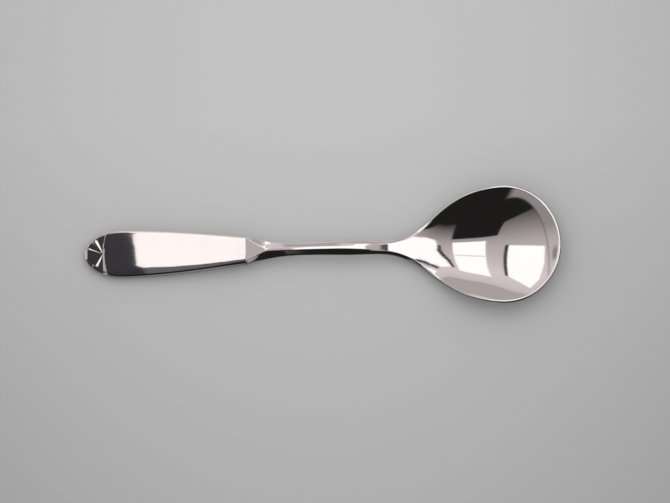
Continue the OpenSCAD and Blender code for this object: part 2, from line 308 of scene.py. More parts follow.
@dataclass(frozen=True)
class Handle:
    """Hollow handle: two struck half shells with a fan of flutes on the front one."""

    lengths: Lengths
    end_length: float = 11.6
    face_rise: float = 1.9
    face_rise_end: float = 1.2
    face_fall: float = 0.06
    back_rise: float = 2.0
    back_rise_end: float = 1.6
    bevel: float = 0.8
    side_cut: float = 0.125
    side_share: float = 0.6
    crown: float = 0.35
    crown_mouth: float = 0.21
    crown_power: float = 4.0
    crown_run: float = 12.0
    wall: float = 0.7
    seam: float = 0.12
    mouth_lift: float = 1.6
    climb: float = 0.07
    mouth_taper: float = -0.12
    corner: float = 0.1
    corner_end: float = 0.25
    side_corner: float = 0.04
    fan_length: float = 5.5
    fan_spread: float = math.radians(64)
    fan_step: float = 0.2
    fan_roll: float = 0.7
    flutes: int = 5
    flute_depth: float = 0.2
    ridge_share: float = 0.8
    flute_rows: int = 14
    shank_rows: int = 60
    roll_rows: int = 7
    face_columns: int = 14
    corner_columns: int = 4
    bevel_columns: int = 2

    @property
    def mouth(self) -> float:
        """Place of the handle's mouth."""
        return self.lengths.handle

    def half_width(self, s: float, inset: float) -> float:
        """Half width of the outline.

        Args:
            s: Place along the spoon.
            inset: How far the outline is taken in.

        Returns:
            The half width.
        """
        widest = self.lengths.handle_width / 2
        if s < self.end_length:
            share = (self.end_length - s) / (self.end_length - inset)
            return (widest - inset) * math.sqrt(max(0.0, 1 - share ** 2))
        knots = (
            Knot(self.end_length, widest, 0.0),
            Knot(self.mouth, self.lengths.mouth_width / 2, self.mouth_taper),
        )
        return FairLine(knots)(s) - inset

    def back_depth(self, s: float) -> float:
        """Depth of the back below the seam."""
        return mix(self.back_rise_end, self.back_rise, ease(s / self.mouth))

    def face_height(self, s: float) -> float:
        """Height of the front face above the seam."""
        start = Knot(0.0, self.face_rise_end, self.face_fall)
        return FairLine((start, Knot(self.mouth, self.face_rise, 0.0)))(s)

    def seam_line(self, s: float) -> float:
        """Height of the seam's middle above the table.

        Args:
            s: Place along the spoon.

        Returns:
            The height.
        """
        rest = Knot(self.end_length, 0.0, 0.0, 0.0)
        back = FairLine((rest, Knot(self.mouth, self.mouth_lift, self.climb)))(s)
        return back + self.back_depth(s) + self.seam / 2

    def point(
        self, plan: Plan, r: float, flat: float, side: Side, inset: float, relief: float,
    ) -> Vector:
        """Point of a shell's outer or inner surface.

        Args:
            plan: Place along the spoon and across it.
            r: Share of the way from the middle to the outline.
            flat: Share at which the bevel starts.
            side: Half of the handle.
            inset: How far the surface is taken in.
            relief: How far the front is struck below its face.

        Returns:
            The point.
        """
        s, y = plan
        if side is Side.FRONT:
            full = self.fan_length + self.crown_run
            height = mix(self.crown, self.crown_mouth, clamp((s - full) / (self.mouth - full)))
            swell = height * ease((s - self.fan_length) / self.crown_run)
            swell *= 1 - min(1.0, r / flat) ** self.crown_power
            rise = self.face_height(s) + swell - relief
            share = self.side_share
        else:
            rise = self.back_depth(s)
            share = self.side_cut
        drop = self.bevel_drop((r - flat) / (1 - flat), share, self.corner_reach(s) / self.bevel)
        height = self.seam / 2 + (rise - inset) * (1 - drop)
        return self.lengths.point(s, y, self.seam_line(s) + side.value * height)

    def bevel_drop(self, x: float, share: float, reach: float) -> float:
        """Drop from the face to the seam across a bevel that ends in a steep side.

        Args:
            x: Share of the bevel's width, negative on the face.
            share: Share of the height that the steep side takes.
            reach: Half width of the rounding at the face, as a share of the bevel's width.

        Returns:
            The drop, from 0 on the face to 1 on the outline.
        """
        gentle = (1 - share) / (1 - self.side_cut)
        steep = (1 - gentle) / self.side_cut
        side = soft_ramp(x - 1 + self.side_cut, self.side_corner / self.bevel)
        return gentle * soft_ramp(x, reach) + steep * side

    def corner_reach(self, s: float) -> float:
        """Half width of the rounding between the face and the bevel."""
        return mix(self.corner_end, self.corner, ease(s / self.mouth))

    def shares(self, flat: float, s: float) -> list[float]:
        """Shares of the way to the outline at which a section has points.

        Args:
            flat: Share at which the bevel starts.
            s: Place along the spoon.

        Returns:
            The shares, from 0 to 1.
        """
        reach = self.corner_reach(s) / self.bevel * (1 - flat)
        side = mix(1.0, flat, self.side_cut)
        side_reach = self.side_corner / self.bevel * (1 - flat)
        places = steps(0.0, flat - reach, self.face_columns)
        places += steps(flat - reach, flat + reach, self.corner_columns)[1:]
        places += steps(flat + reach, side - side_reach, self.bevel_columns)[1:]
        places += steps(side - side_reach, side + side_reach, self.corner_columns)[1:]
        return places + [1.0]

    def fan_end(self, angle: float, inset: float) -> Plan:
        """Place on the rounded end's outline.

        Args:
            angle: Angle from the tip.
            inset: How far the outline is taken in.

        Returns:
            Place along the spoon and across it.
        """
        reach = self.end_length - inset
        width = self.lengths.handle_width / 2 - inset
        return self.end_length - reach * math.cos(angle), width * math.sin(angle)

    def shank_row(self, u: float, mirror: float, side: Side, inset: float) -> Row:
        """Half-section between the fan's arc, where it bends, and the mouth, where it is straight.

        Args:
            u: Share of the way from the arc to the mouth.
            mirror: 1 for the half towards +Y and -1 for the other.
            side: Half of the handle.
            inset: How far the surface is taken in.

        Returns:
            Points from the middle to the outline.
        """
        start = self.fan_end(self.fan_spread, inset)[0]
        edge = mix(start, self.mouth, u)
        half = self.half_width(edge, inset)
        arc_bow = start - self.fan_length
        bow = arc_bow * (1 - u) ** 2
        flat = 1 - self.bevel / math.hypot(bow, half)
        row = []
        for r in self.shares(flat, edge):
            past_arc = edge - start + (arc_bow - bow) * (1 - r ** 2)
            fall = max(0.0, 1 - past_arc / self.fan_roll) ** 2
            plan = (edge - bow * (1 - r ** 2), mirror * r * half)
            row.append(self.point(plan, r, flat, side, inset, self.fan_step * fall))
        return row

    def fan_row(self, i: int, side: Side, inset: float) -> Row:
        """Half-section on a ray of the fan, from the middle of its arc to the outline.

        Args:
            i: Number of the ray.
            side: Half of the handle.
            inset: How far the surface is taken in.

        Returns:
            Points from the middle to the outline.
        """
        count = self.flutes * self.flute_rows
        end_s, end_y = self.fan_end(mix(-self.fan_spread, self.fan_spread, i / count), inset)
        flat = 1 - self.bevel / math.hypot(end_s - self.fan_length, end_y)
        bow = clamp(1 - min(i, count - i) / self.flute_rows)
        wave = abs(math.sin(math.pi * i / self.flute_rows))
        flute = self.flute_depth * ease(wave / self.ridge_share)
        row = []
        for r in self.shares(flat, end_s):
            s = mix(self.fan_length, end_s, mix(r, r ** 2, bow))
            relief = self.fan_step + flute * r
            row.append(self.point((s, r * end_y), r, flat, side, inset, relief))
        return row

    def rows(self, side: Side, inset: float) -> list[Row]:
        """Half-sections from the mouth round the tip and back to the mouth.

        Args:
            side: Half of the handle.
            inset: How far the surface is taken in.

        Returns:
            The half-sections.
        """
        roll = self.fan_roll / (self.mouth - self.fan_length)
        shares = steps(0.0, roll, self.roll_rows) + steps(roll, 1.0, self.shank_rows)[1:]
        right = [self.shank_row(u, -1.0, side, inset) for u in reversed(shares)]
        left = [self.shank_row(u, 1.0, side, inset) for u in shares]
        fan = [self.fan_row(i, side, inset) for i in range(1, self.flutes * self.flute_rows)]
        return right + fan + left

    def build_shell(self, side: Side, material: bpy.types.Material, node: str) -> bpy.types.Object:
        """Builds one half shell with its wall.

        Args:
            side: Half of the handle.
            material: Finish of the shell.
            node: Node that the shell stands for.

        Returns:
            The piece.
        """
        outer = self.rows(side, 0.0)
        inner = self.rows(side, self.wall)
        skin = Skin(f"{node}_dressed", [a + b[::-1] for a, b in zip(outer, inner)])
        skin.close_ends()
        return skin.finish(material, node)


@dataclass(frozen=True)
class ForgedPiece:
    """Bowl, ridged stem, faceted bolster and tang, forged in one."""

    lengths: Lengths
    handle: Handle
    bolster_length: float = 5.7
    bolster_taper: float = -0.34
    stem_length: float = 35.4
    stem_width: float = 3.7
    waist_share: float = 1 / 3
    ridge_width: float = 0.7
    ridge_rise: float = 0.75
    ridge_fade: float = 12.0
    ridge_run: float = 14.0
    stem_belly: float = 1.2
    stem_side: float = 0.4
    crest_lift: float = 5.3
    neck_width: float = 4.0
    neck_lift: float = 4.82
    neck_fall: float = 0.145
    neck_bend: float = 0.016
    neck_flare: float = 0.07
    shoulder_width: float = 20.4
    shoulder_length: float = 15.8
    shoulder_flare: float = 0.8
    bowl_front: float = 16.5
    rim_thickness: float = 1.0
    floor_thickness: float = 1.3
    bowl_depth: float = 5.3
    deepest_share: float = 0.45
    shoulder_depth: float = 2.45
    shoulder_sink: float = 0.5
    hollow_delay: float = 2.4
    steepest_length: float = 7.0
    steepest_lift: float = 3.53
    steepest_fall: float = 0.19
    rim_climb: float = 0.17
    rim_fall: float = 0.03
    tip_lift: float = 7.1
    crease: float = 0.16
    ridge_crease: float = 0.2
    fade_flat: float = 0.3
    fade_crease: float = 0.25
    bolster_lip: float = 0.05
    stem_lip: float = 0.75
    rim_lip: float = 0.75
    neck_lip: float = 0.3
    chamfer_width: float = 0.95
    chamfer_share: float = 0.75
    chamfer_round: float = 1 / 6
    chamfer_drop: float = 0.45
    chamfer_run: float = 8.0
    chamfer_fade: float = 10.0
    even_pull: float = 4 / 3
    pull_over: float = 0.5
    pull_under: float = 1.975
    belly_reach: float = 0.8
    belly_round: float = 0.25
    tang_length: float = 28.0
    tang_width: float = 4.0
    tang_thickness: float = 2.0
    tang_end_width: float = 2.8
    tang_end_thickness: float = 1.4
    tang_root: float = 0.4
    bolster_rows: int = 24
    stem_rows: int = 40
    bowl_rows: int = 80
    front_rows: int = 72
    flat_columns: int = 9
    crease_columns: int = 4
    flank_columns: int = 12
    edge_columns: int = 4
    lip_columns: int = 10
    outer_columns: int = 7
    inner_columns: int = 11

    @property
    def bolster(self) -> float:
        """Place where the bolster meets the handle's solder."""
        return self.lengths.handle + self.lengths.mouth_solder

    @property
    def facet_tip(self) -> float:
        """Place of the tip of the bolster's facet."""
        return self.bolster + self.bolster_length

    @property
    def waist(self) -> float:
        """Place of the stem's least width."""
        return mix(self.facet_tip, self.neck, self.waist_share)

    @property
    def neck(self) -> float:
        """Place where the stem ends."""
        return self.facet_tip + self.stem_length

    @property
    def tip(self) -> float:
        """Place of the bowl's tip."""
        return self.lengths.whole

    @property
    def widest(self) -> float:
        """Place of the bowl's greatest width."""
        return self.tip - self.bowl_front

    @property
    def deepest(self) -> float:
        """Place of the bowl's greatest depth."""
        return mix(self.shoulder, self.widest, self.deepest_share)

    @property
    def shoulder(self) -> float:
        """Place of the bowl's shoulder."""
        return self.neck + self.shoulder_length

    @property
    def floor_bend(self) -> float:
        """Second derivative of the bowl's floor along the middle, in front of the deepest place."""
        return 2 * (self.tip_lift - self.floor_thickness) / (self.tip - self.deepest) ** 2

    def half_width(self, s: float) -> float:
        """Half width of the outline.

        Args:
            s: Place along the spoon.

        Returns:
            The half width.
        """
        widest = self.lengths.bowl_width / 2
        if s > self.widest:
            return widest * math.sqrt(max(0.0, 1 - ((s - self.widest) / self.bowl_front) ** 2))
        knots = (
            Knot(self.bolster, self.lengths.mouth_width / 2, self.bolster_taper),
            Knot(self.waist, self.stem_width / 2, 0.0),
            Knot(self.neck, self.neck_width / 2, self.neck_flare),
            Knot(self.shoulder, self.shoulder_width / 2, self.shoulder_flare),
            Knot(self.widest, widest, 0.0, -widest / self.bowl_front ** 2),
        )
        return FairLine(knots)(s)

    def middle_line(self, s: float) -> float:
        """Height of the middle, from between the stem's sides to the bowl's floor.

        Args:
            s: Place along the spoon.

        Returns:
            The height.
        """
        mouth_edge = self.handle.seam_line(self.lengths.handle) + self.handle.seam / 2
        bend = self.floor_bend
        knots = (
            Knot(self.bolster, mouth_edge, self.handle.climb),
            Knot(self.neck - self.ridge_fade, self.crest_lift, 0.0),
            Knot(self.neck, self.neck_lift, -self.neck_fall, -self.neck_bend),
            Knot(self.neck + self.steepest_length, self.steepest_lift, -self.steepest_fall),
            Knot(self.deepest, self.floor_thickness, 0.0),
            Knot(self.tip, self.tip_lift, bend * (self.tip - self.deepest), bend),
        )
        return FairLine(knots)(s)

    def hollow(self, s: float) -> float:
        """Depth of the hollow below the rim, along the middle.

        Args:
            s: Place along the spoon.

        Returns:
            The depth.
        """
        bend = self.floor_bend
        run = self.widest - self.deepest
        widest_depth = self.lengths.rim_height - self.floor_thickness - bend * run ** 2 / 2
        knots = (
            Knot(self.neck + self.hollow_delay, 0.0, 0.0, 0.0),
            Knot(self.shoulder, self.shoulder_depth, self.shoulder_sink),
            Knot(self.deepest, self.bowl_depth, self.rim_climb),
            Knot(self.widest, widest_depth, -bend * run),
            Knot(self.tip, 0.0, -bend * (self.tip - self.deepest) - self.rim_fall),
        )
        return FairLine(knots)(s)

    def edge_line(self, s: float) -> float:
        """Height of the upper side edge, which becomes the bowl's rim."""
        return self.middle_line(s) + self.hollow(s)

    def facet_share(self, s: float) -> float:
        """Share of the bolster's facet in a section."""
        return clamp((self.facet_tip - s) / self.bolster_length)

    def bolster_share(self, s: float) -> float:
        """Share of the bolster's underside in a section."""
        return 1 - ease((s - self.bolster) / (self.waist - self.bolster))

    def ridge_share(self, s: float) -> float:
        """Share of the stem's ridge in a section."""
        return 1 - ease((s - self.neck + self.ridge_run) / self.ridge_run)

    def bowl_share(self, s: float) -> float:
        """Share of the bowl's wall in a section."""
        start = self.neck - self.ridge_fade / 2
        return ease((s - start) / (self.shoulder - start))

    def flat_half(self, s: float) -> float:
        """Half width of the flat on top, which is the facet and then the ridge.

        Args:
            s: Place along the spoon.

        Returns:
            The half width.
        """
        faded = self.half_width(s) * self.fade_flat
        ridge = mix(faded, self.ridge_width / 2, self.ridge_share(s))
        facet = self.lengths.mouth_width / 2 - self.handle.bevel
        return mix(ridge, facet, self.facet_share(s))

    def flat_rise(self, s: float) -> float:
        """Height of the flat above the side edges.

        Args:
            s: Place along the spoon.

        Returns:
            The height.
        """
        if s >= self.facet_tip:
            return self.ridge_rise * self.ridge_share(s)
        facet_top = self.edge_line(self.bolster) + self.handle.face_rise
        ridge_top = self.edge_line(self.facet_tip) + self.ridge_rise
        return mix(ridge_top, facet_top, self.facet_share(s)) - self.edge_line(s)

    def crease_reach(self, s: float) -> float:
        """Half width of the rounding beside the flat, which opens out as the ridge fades.

        Args:
            s: Place along the spoon.

        Returns:
            The half width.
        """
        faded = self.flat_half(s) * self.fade_crease
        ridge = mix(self.ridge_crease, self.crease, self.bolster_share(s))
        return mix(faded, ridge, self.ridge_share(s))

    def edge_width(self, s: float, reach: float) -> float:
        """Width of the chamfer along an outline at a distance from the middle."""
        room = reach - self.flat_half(s) - self.crease_reach(s)
        return min(self.chamfer_width, self.chamfer_share * room)

    def chamfer(self, s: float) -> float:
        """Drop of the chamfer that carries the stem's sides on along the neck."""
        fade = ease((s - self.neck - self.chamfer_run) / self.chamfer_fade)
        return self.chamfer_drop * (1 - self.ridge_share(s)) * (1 - fade)

    def swell(self, s: float, y: float) -> float:
        """Share of the hollow's depth across a section, which is a parabola."""
        half = self.half_width(s)
        return max(0.0, 1 - (y / half) ** 2) if half > 0 else 0.0

    def top(self, plan: Plan) -> Vector:
        """Point of the upper surface.

        Args:
            plan: Place along the spoon and across it.

        Returns:
            The point.
        """
        s, y = plan
        z = self.edge_line(s) - self.hollow(s) * self.swell(s, y)
        if self.ridge_share(s) > 0:
            half, flat = self.half_width(s), self.flat_half(s)
            beyond = (abs(y) - flat) / (half - flat)
            share = mix(self.handle.side_cut, self.handle.side_share, self.facet_share(s))
            drop = self.handle.bevel_drop(beyond, share, self.crease_reach(s) / (half - flat))
            z += self.flat_rise(s) * (1 - drop)
        chamfer = self.chamfer(s)
        if chamfer > 0:
            half = self.half_width(s)
            width = self.edge_width(s, half)
            z -= chamfer * soft_ramp(1 - (half - abs(y)) / width, self.chamfer_round)
        return self.lengths.point(s, y, z)

    def bottom(self, plan: Plan) -> Vector:
        """Point of the underside.

        Args:
            plan: Place along the spoon and across it.

        Returns:
            The point.
        """
        s, y = plan
        half, share, swell = self.half_width(s), self.bowl_share(s), self.swell(s, y)
        bolster = self.bolster_share(s)
        inset = max(0.0, half - abs(y)) / self.handle.bevel
        bevelled = 1 - soft_ramp(1 - inset, self.handle.corner / self.handle.bevel)
        belly = mix(self.stem_belly * math.sqrt(swell), self.handle.back_rise * bevelled, bolster)
        thin = mix(self.stem_side, self.handle.seam, bolster)
        side = mix(thin, self.rim_thickness, share)
        floor = share * (self.floor_thickness - self.rim_thickness)
        z = self.edge_line(s) - side - (1 - share) * belly - (self.hollow(s) + floor) * swell
        return self.lengths.point(s, y, z)

    def lip(self, s: float) -> float:
        """Width of the rounding at the outline.

        Args:
            s: Place along the spoon.

        Returns:
            The width.
        """
        knots = (
            Knot(self.bolster, self.bolster_lip, 0.0),
            Knot(self.waist, self.stem_lip, 0.0),
            Knot(self.neck, self.neck_lip, 0.0),
            Knot(self.neck + self.chamfer_run, self.neck_lip, 0.0),
            Knot(self.widest, self.rim_lip, 0.0),
        )
        return FairLine(knots)(s)

    def half_section(self, middle: float, end: Plan) -> Row:
        """Half-section over the top, round the outline and back underneath.

        Args:
            middle: Place along the spoon where the section starts, on its middle line.
            end: Place on the outline where it turns.

        Returns:
            Points from the middle of the top to the middle of the underside.
        """
        reach = math.hypot(end[0] - middle, end[1])
        flat = self.flat_half(middle)
        crease = self.crease_reach(middle)
        inset = reach - self.lip(end[0])

        def plan(distance: float) -> Plan:
            """Place at a distance from the middle line."""
            share = distance / reach
            return mix(middle, end[0], share), end[1] * share

        upper = steps(0.0, flat - crease, self.flat_columns)
        upper += steps(flat - crease, flat + crease, self.crease_columns)[1:]
        width = self.edge_width(middle, reach)
        rounding = width * self.chamfer_round
        bend_start, bend_end = reach - width - rounding, reach - width + rounding
        upper += steps(flat + crease, bend_start, self.flank_columns)[1:]
        upper += steps(bend_start, bend_end, self.crease_columns)[1:]
        upper += steps(bend_end, inset, self.edge_columns)[1:]
        row = [self.top(plan(distance)) for distance in upper]
        lower = [self.bottom(plan(distance)) for distance in self.belly_places(inset, reach)]
        bowl = self.bowl_share(end[0])
        row += self.lip_points(row[-1], self.top(end), self.bottom(end), lower[0], bowl)
        return row + lower

    def belly_places(self, inset: float, reach: float) -> list[float]:
        """Distances from the middle line of the underside's points.

        Args:
            inset: Distance at which the outline's rounding starts.
            reach: Distance of the outline.

        Returns:
            The distances, from the rounding to the middle.
        """
        corner = min(reach - self.handle.bevel, inset * self.belly_reach)
        width = min(self.handle.corner, corner * self.belly_round)
        outer = steps(inset, corner + width, self.outer_columns)
        rounding = steps(corner + width, corner - width, self.crease_columns)
        inner = steps(corner - width, 0.0, self.inner_columns)
        return outer + rounding[1:] + inner[1:]

    def lip_points(self, start: Vector, over: Vector, under: Vector, end: Vector, bowl: float) -> Row:
        """Rounding at the outline: a cubic curve that leaves both surfaces smoothly.

        Args:
            start: Last point of the upper surface.
            over: Upper surface's own edge on the outline.
            under: Underside's own edge on the outline.
            end: First point of the underside.
            bowl: Share of the bowl in the section. Its rim falls off sooner than the stem's sides.

        Returns:
            Points between the two surfaces.
        """
        pull_start = start.lerp(over, mix(self.even_pull, self.pull_over, bowl))
        pull_end = end.lerp(under, mix(self.even_pull, self.pull_under, bowl))
        points = []
        for i in range(1, self.lip_columns):
            u = i / self.lip_columns
            v = 1 - u
            upper = start * v ** 3 + pull_start * 3 * v * v * u
            points.append(upper + pull_end * 3 * v * u * u + end * u ** 3)
        return points

    def places(self) -> list[float]:
        """Places along the spoon of the sections from the bolster to the widest place.

        Returns:
            The places.
        """
        crisp = self.crease / 2
        bolster = steps(self.bolster, self.facet_tip - crisp, self.bolster_rows)
        stem = steps(self.facet_tip + crisp, self.neck - self.ridge_fade, self.stem_rows)
        bowl = steps(self.neck - self.ridge_fade, self.widest, self.bowl_rows)
        return bolster + [self.facet_tip] + stem + bowl[1:]

    def rows(self) -> list[Row]:
        """Half-sections from the bolster round the bowl's tip and back to the bolster.

        Returns:
            The half-sections.
        """
        places = self.places()
        right = [self.half_section(s, (s, -self.half_width(s))) for s in places]
        left = [self.half_section(s, (s, self.half_width(s))) for s in reversed(places)]
        front = []
        for angle in steps(-math.pi / 2, math.pi / 2, self.front_rows)[1:-1]:
            s = self.widest + self.bowl_front * math.cos(angle)
            y = self.lengths.bowl_width / 2 * math.sin(angle)
            front.append(self.half_section(self.widest, (s, y)))
        return right + front + left

    def add_tang(self, mesh: bmesh.types.BMesh) -> None:
        """Adds the tapered tang that goes into the handle.

        Args:
            mesh: Mesh of the forged piece.
        """
        mouth = self.lengths.handle
        end = mouth - self.tang_length
        bar = bmesh.ops.create_cube(mesh, size=1.0)["verts"]
        for vertex in bar:
            root = vertex.co.x > 0
            s = self.bolster + self.tang_root if root else end
            width = self.tang_width if root else self.tang_end_width
            thickness = self.tang_thickness if root else self.tang_end_thickness
            at = min(s, mouth)
            off = (self.handle.face_height(at) - self.handle.back_depth(at)) / 2
            middle = self.handle.seam_line(at) + off
            vertex.co = self.lengths.point(s, vertex.co.y * width, middle + vertex.co.z * thickness)

    def build(self, material: bpy.types.Material) -> bpy.types.Object:
        """Builds the forged piece.

        Args:
            material: Finish of the piece.

        Returns:
            The piece.
        """
        skin = Skin("bowl_and_stem_dressed", self.rows())
        skin.close_ends()
        self.add_tang(skin.mesh)
        return skin.finish(material, "bowl_and_stem")


class Blend(Enum):
    """Ways to blend two colours."""

    MIX = "MIX"
    MULTIPLY = "MULTIPLY"


class Board:
    """Node tree with one way to add a node."""

    MIXED = 2
    FIRST = 6
    SECOND = 7

    def __init__(self, tree: bpy.types.NodeTree) -> None:
        """Empties the tree that is to be filled."""
        self.tree = tree
        tree.nodes.clear()

    def node(
        self, kind: str, settings: Settings | None = None, inputs: Inputs | None = None,
    ) -> bpy.types.Node:
        """Adds a node.

        Args:
            kind: Type of the node.
            settings: Properties of the node, set first. A ramp's stops go under "stops".
            inputs: Values or links by socket name or number.

        Returns:
            The node.
        """
        node = self.tree.nodes.new(kind)
        for name, value in (settings or {}).items():
            if name == "stops":
                self.set_stops(node.color_ramp, value)
            else:
                setattr(node, name, value)
        for name, value in (inputs or {}).items():
            if isinstance(value, Shade):
                self.tree.links.new(value.socket, node.inputs[name])
            elif isinstance(value, bpy.types.NodeSocket):
                self.tree.links.new(value, node.inputs[name])
            else:
                node.inputs[name].default_value = value
        return node

    @staticmethod
    def set_stops(ramp: bpy.types.ColorRamp, stops: Sequence[tuple[float, float]]) -> None:
        """Sets a ramp's stops.

        Args:
            ramp: Colour ramp with its two first stops.
            stops: Position and grey level of each stop, in order.
        """
        while len(ramp.elements) < len(stops):
            ramp.elements.new(1.0)
        for element, (position, level) in zip(ramp.elements, stops):
            element.position = position
            element.color = (level, level, level, 1.0)

    def shade(
        self, kind: str, output: str | int, settings: Settings | None = None, inputs: Inputs | None = None,
    ) -> "Shade":
        """Adds a node and gives one of its outputs, by name or number."""
        return Shade(self, self.node(kind, settings, inputs).outputs[output])

    def blend(self, share: Value, a: object, b: object, way: Blend = Blend.MIX) -> "Shade":
        """Blends two colours.

        Args:
            share: Share of the second colour.
            a: First colour, plain or from a node.
            b: Second colour, plain or from a node.
            way: How they are blended.

        Returns:
            The blended colour.
        """
        first, second = ((*end, 1.0) if isinstance(end, tuple) else end for end in (a, b))
        settings = {"data_type": "RGBA", "blend_type": way.value}
        inputs = {0: share, self.FIRST: first, self.SECOND: second}
        return self.shade("ShaderNodeMix", self.MIXED, settings, inputs)


@dataclass(frozen=True)
class Shade:
    """Output of a node, for sums and products in plain expressions."""

    board: Board
    socket: bpy.types.NodeSocket

    def math(self, operation: str, a: Value, b: Value = 0.0) -> "Shade":
        """Adds a Math node."""
        return self.board.shade("ShaderNodeMath", 0, {"operation": operation}, {0: a, 1: b})

    def __add__(self, other: Value) -> "Shade":
        """Sum."""
        return self.math("ADD", self, other)

    def __radd__(self, other: Value) -> "Shade":
        """Sum with a number in front."""
        return self.math("ADD", other, self)

    def __sub__(self, other: Value) -> "Shade":
        """Difference."""
        return self.math("SUBTRACT", self, other)

    def __rsub__(self, other: Value) -> "Shade":
        """Difference from a number in front."""
        return self.math("SUBTRACT", other, self)

    def __mul__(self, other: Value) -> "Shade":
        """Product."""
        return self.math("MULTIPLY", self, other)

    def __rmul__(self, other: Value) -> "Shade":
        """Product with a number in front."""
        return self.math("MULTIPLY", other, self)

    def __truediv__(self, other: Value) -> "Shade":
        """Quotient."""
        return self.math("DIVIDE", self, other)

    def toward(self, other: Value, mask: "Shade") -> "Shade":
        """Value that goes to another one where a mask is 1."""
        return self + (other - self) * mask

    def at_least(self, other: Value) -> "Shade":
        """The greater of two values."""
        return self.math("MAXIMUM", self, other)

    def at_most(self, other: Value) -> "Shade":
        """The smaller of two values."""
        return self.math("MINIMUM", self, other)

    def rises(self, start: float, end: float) -> "Shade":
        """Mask that goes smoothly from 0 at start to 1 at end."""
        settings = {"interpolation_type": "SMOOTHSTEP"}
        return self.board.shade("ShaderNodeMapRange", 0, settings, {0: self, 1: start, 2: end})

    def between(self, low: float, high: float, blur: float) -> "Shade":
        """Mask that is 1 between two values, with soft edges."""
        return self.rises(low - blur, low + blur) * (1 - self.rises(high - blur, high + blur))


@dataclass(frozen=True)
class MetalFinish:
    """Polished metal with fine marks along the spoon and a slight waviness."""

    name: str
    colour: Colour
    tarnish: Colour
    roughness: float
    rough_marks: float
    mark_length: float
    mark_width: float
    mark_depth: float
    wave_length: float
    wave_width: float
    wave_depth: float
    mark_detail: float = 3.0
    mark_edges: Span = (0.35, 0.65)
    wave_detail: float = 1.0
    cloud_size: float = 9.0
    cloud_detail: float = 3.0
    cloud_edges: Span = (0.35, 0.75)
    cloud_share: float = 0.5

    def noise(self, board: Board, along: float, across: float, detail: float) -> Shade:
        """Noise drawn out along the spoon.

        Args:
            board: Node tree.
            along: Length of its grains in millimetres.
            across: Width of its grains in millimetres.
            detail: Number of finer layers.

        Returns:
            Noise from 0 to 1.
        """
        coordinates = board.shade("ShaderNodeTexCoord", "Object")
        scale = (1 / (along * MM), 1 / (across * MM), 1 / (across * MM))
        stretch = {"operation": "MULTIPLY"}
        place = board.shade("ShaderNodeVectorMath", 0, stretch, {0: coordinates, 1: scale})
        inputs = {"Vector": place, "Scale": 1.0, "Detail": detail}
        return board.shade("ShaderNodeTexNoise", 0, None, inputs)

    def material(self) -> bpy.types.Material:
        """Makes the material.

        Returns:
            The material.
        """
        material = bpy.data.materials.new(self.name)
        material.use_nodes = True
        board = Board(material.node_tree)
        marks = self.noise(board, self.mark_length, self.mark_width, self.mark_detail)
        waves = self.noise(board, self.wave_length, self.wave_width, self.wave_detail)
        cloud = self.noise(board, self.cloud_size, self.cloud_size, self.cloud_detail)
        clouds = self.cloud_share * cloud.rises(*self.cloud_edges)
        streaks = clouds + (1 - self.cloud_share) * marks.rises(*self.mark_edges)
        colour = board.blend(streaks, self.colour, self.tarnish)
        relief = marks * self.mark_depth * MM + waves * self.wave_depth * MM
        heights = {"Strength": 1.0, "Distance": 1.0, "Height": relief}
        normal = board.shade("ShaderNodeBump", 0, None, heights)
        shader = board.node("ShaderNodeBsdfPrincipled", None, {
            "Base Color": colour,
            "Metallic": 1.0,
            "Roughness": self.roughness + self.rough_marks * marks,
            "Normal": normal,
        })
        board.node("ShaderNodeOutputMaterial", None, {"Surface": shader.outputs[0]})
        return material


@dataclass(frozen=True)
class CementFinish:
    """Cast cement: matt, with pale grains."""

    name: str
    colour: Colour
    grain: Colour
    grain_size: float
    roughness: float
    grain_detail: float = 4.0
    grain_edges: Span = (0.45, 0.7)
    grain_relief: float = 0.05

    def material(self) -> bpy.types.Material:
        """Makes the material.

        Returns:
            The material.
        """
        material = bpy.data.materials.new(self.name)
        material.use_nodes = True
        board = Board(material.node_tree)
        coordinates = board.shade("ShaderNodeTexCoord", "Object")
        scale = 1 / (self.grain_size * MM)
        inputs = {"Vector": coordinates, "Scale": scale, "Detail": self.grain_detail}
        grains = board.shade("ShaderNodeTexNoise", 0, None, inputs)
        colour = board.blend(grains.rises(*self.grain_edges), self.colour, self.grain)
        heights = {"Distance": self.grain_relief * MM, "Height": grains}
        normal = board.shade("ShaderNodeBump", 0, None, heights)
        shader = board.node("ShaderNodeBsdfPrincipled", None, {
            "Base Color": colour, "Roughness": self.roughness, "Normal": normal,
        })
        board.node("ShaderNodeOutputMaterial", None, {"Surface": shader.outputs[0]})
        return material


STEEL = MetalFinish(
    name="polished_steel",
    colour=(0.86, 0.85, 0.85),
    tarnish=(0.84, 0.825, 0.825),
    roughness=0.035,
    rough_marks=0.03,
    mark_length=6.0,
    mark_width=0.35,
    mark_depth=0.0002,
    wave_length=7.0,
    wave_width=5.0,
    wave_depth=0.001,
)
SILVER = MetalFinish(
    name="polished_silver",
    colour=(0.89, 0.855, 0.84),
    tarnish=(0.85, 0.805, 0.79),
    roughness=0.035,
    rough_marks=0.06,
    mark_length=14.0,
    mark_width=0.16,
    mark_depth=0.0006,
    wave_length=9.0,
    wave_width=1.3,
    wave_depth=0.012,
)
SOLDER = MetalFinish(
    name="silver_solder",
    colour=(0.80, 0.78, 0.75),
    tarnish=(0.74, 0.72, 0.69),
    roughness=0.1,
    rough_marks=0.08,
    mark_length=3.0,
    mark_width=0.3,
    mark_depth=0.0005,
    wave_length=5.0,
    wave_width=2.0,
    wave_depth=0.003,
)
CEMENT = CementFinish(
    name="cast_cement",
    colour=(0.30, 0.26, 0.21),
    grain=(0.42, 0.38, 0.32),
    grain_size=0.8,
    roughness=0.9,
)


class Sight(Enum):
    """What a panel over the table shows up in."""

    MIRROR = 0
    MIRROR_AND_FLOOR = 1


